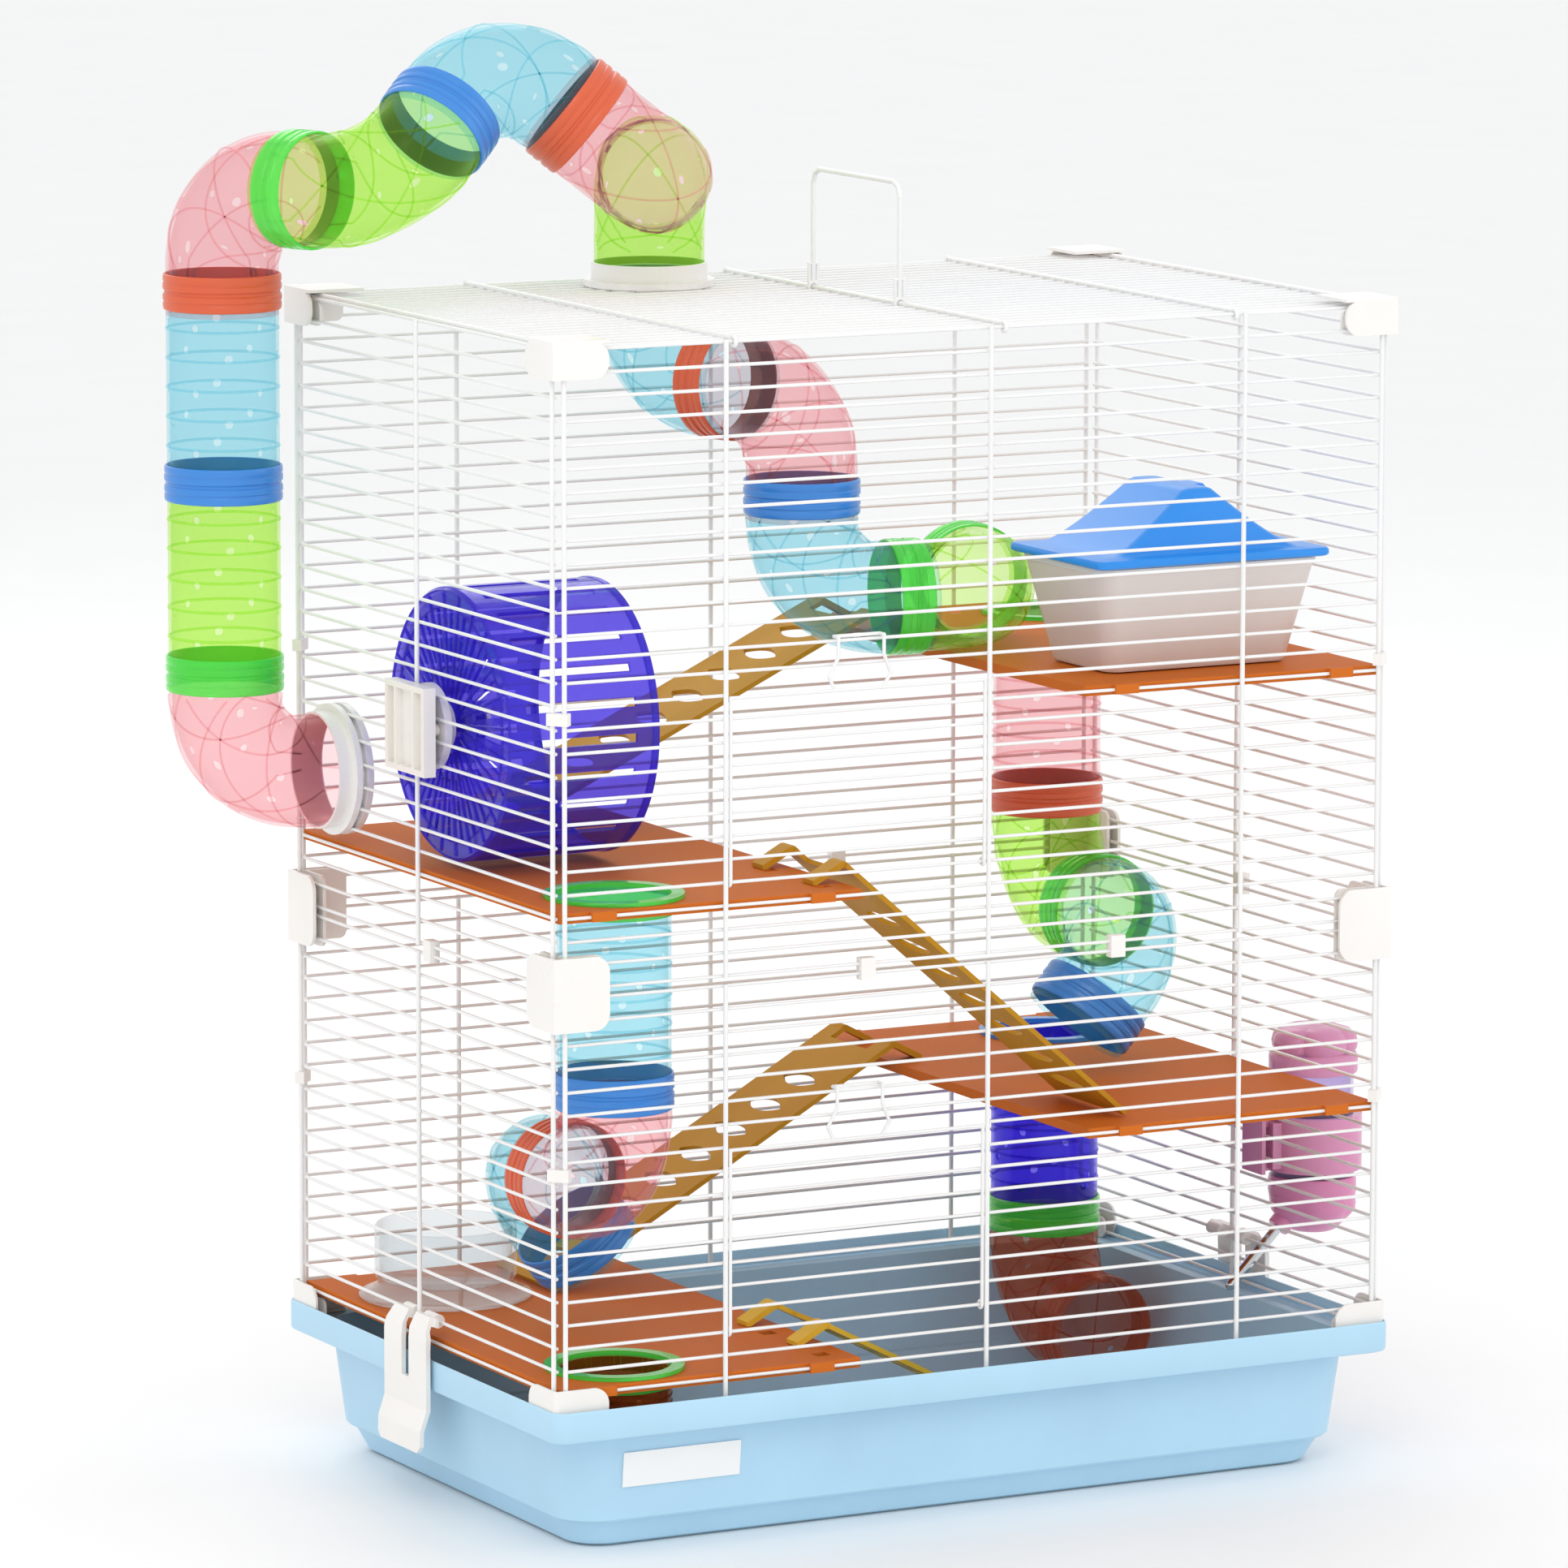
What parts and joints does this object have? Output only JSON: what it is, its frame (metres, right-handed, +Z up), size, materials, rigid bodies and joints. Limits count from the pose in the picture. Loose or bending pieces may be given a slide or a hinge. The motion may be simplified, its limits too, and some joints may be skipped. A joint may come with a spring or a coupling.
{
  "type": "hamster cage",
  "caption": "Wire hamster cage on a deep tray, with shelves, ladders, clear tubes, a wheel, a house, a dish and a bottle.",
  "frame": {"origin": "centre of the tray's underside", "axes": "+X to the right along the long front, +Y to the back, +Z up"},
  "size_m": [0.6073, 0.309, 0.7303],
  "materials": {
    "tray_plastic": "glossy",
    "label_plate": "glossy",
    "wire_paint": "glossy",
    "ivory_plastic": "glossy",
    "shelf_orange": "glossy",
    "ring_green": "glossy",
    "ring_blue": "glossy",
    "ladder_pale": "glossy",
    "ladder_ochre": "glossy",
    "wheel_violet": "glossy",
    "house_white": "glossy",
    "house_blue": "glossy",
    "dish_clear": "glossy",
    "bottle_clear": "glossy",
    "bottle_pink": "glossy",
    "nozzle_pink": "glossy",
    "spout_steel": "polished",
    "flange_white": "glossy",
    "ring_orange": "glossy",
    "tube_coral": "glossy",
    "tube_lime": "glossy",
    "tube_pink": "glossy",
    "tube_blue": "glossy",
    "tube_violet": "glossy",
    "tube_amber": "glossy"
  },
  "bodies": {
    "base": {"tray": "tray_plastic", "tray_label": "label_plate"},
    "cage": {"front_lower_panel": "wire_paint", "front_upper_panel": "wire_paint", "back_lower_panel": "wire_paint", "back_upper_panel": "wire_paint", "left_lower_panel": "wire_paint", "left_upper_panel": "wire_paint", "right_lower_panel": "wire_paint", "right_upper_panel": "wire_paint", "top_panel": "wire_paint", "top_corner_caps": "ivory_plastic", "seam_corner_clamps": "ivory_plastic", "base_corner_feet": "ivory_plastic", "edge_clips": "ivory_plastic", "seam_clips": "ivory_plastic", "left_low_shelf": "shelf_orange", "right_low_shelf": "shelf_orange", "left_high_shelf": "shelf_orange", "right_high_shelf": "shelf_orange", "green_hole_rings": "ring_green", "blue_hole_ring": "ring_blue", "tray_ladder": "ladder_pale", "left_ladder": "ladder_ochre", "middle_ladder": "ladder_ochre", "upper_ladder": "ladder_ochre", "wheel_bracket": "ivory_plastic", "wheel_axle": "ivory_plastic", "house_tub": "house_white", "bottle_body": "bottle_clear", "bottle_cap": "bottle_pink", "bottle_holder": "bottle_pink", "bottle_nozzle": "nozzle_pink", "bottle_spout": "spout_steel", "top_flange": "flange_white", "side_flange": "flange_white", "orange_rings": "ring_orange", "blue_rings": "ring_blue", "green_rings": "ring_green", "coral_ring": "tube_coral", "lime_elbows": "tube_lime", "pink_elbows": "tube_pink", "blue_elbows": "tube_blue", "coral_elbow": "tube_coral", "blue_straights": "tube_blue", "lime_straight": "tube_lime", "pink_straight": "tube_pink", "violet_straight": "tube_violet", "amber_stub": "tube_amber"},
    "wheel": {"wheel_drum": "wheel_violet"},
    "door_upper": {"upper_door": "wire_paint"},
    "door_lower": {"lower_door": "wire_paint"},
    "handle": {"carry_handle": "wire_paint"},
    "clip_left": {"left_tray_clip": "ivory_plastic"},
    "clip_right": {"right_tray_clip": "ivory_plastic"},
    "roof": {"house_roof": "house_blue"},
    "dish": {"food_dish": "dish_clear"}
  },
  "joints": [
    {"name": "cage_lift", "type": "slide", "parent": "base", "child": "cage", "axis": [0, 0, 1], "range_m": [0, 0.25]},
    {"name": "wheel_spin", "type": "hinge", "parent": "cage", "child": "wheel", "pos_m": [-0.175, 0.0015, 0.3891], "axis": [1, 0, 0], "continuous": true},
    {"name": "upper_door_hinge", "type": "hinge", "parent": "cage", "child": "door_upper", "pos_m": [-0.0675, -0.14645, 0.3264], "axis": [1, 0, 0], "range_deg": [0, 140]},
    {"name": "lower_door_hinge", "type": "hinge", "parent": "cage", "child": "door_lower", "pos_m": [-0.0675, -0.14645, 0.105], "axis": [1, 0, 0], "range_deg": [0, 140]},
    {"name": "handle_swing", "type": "hinge", "parent": "cage", "child": "handle", "pos_m": [0.013, 0.0057, 0.5902], "axis": [0, 1, 0], "range_deg": [-80, 80]},
    {"name": "left_clip_hinge", "type": "hinge", "parent": "cage", "child": "clip_left", "pos_m": [-0.22925, 0.0055, 0.0936], "axis": [0, 1, 0], "range_deg": [0, 100]},
    {"name": "right_clip_hinge", "type": "hinge", "parent": "cage", "child": "clip_right", "pos_m": [0.22925, -0.003, 0.0936], "axis": [0, -1, 0], "range_deg": [0, 45]},
    {"name": "roof_lift", "type": "slide", "parent": "cage", "child": "roof", "axis": [0, 0, 1], "range_m": [0, 0.05]},
    {"name": "dish_lift", "type": "slide", "parent": "cage", "child": "dish", "axis": [0, 0, 1], "range_m": [0, 0.04]}
  ]
}
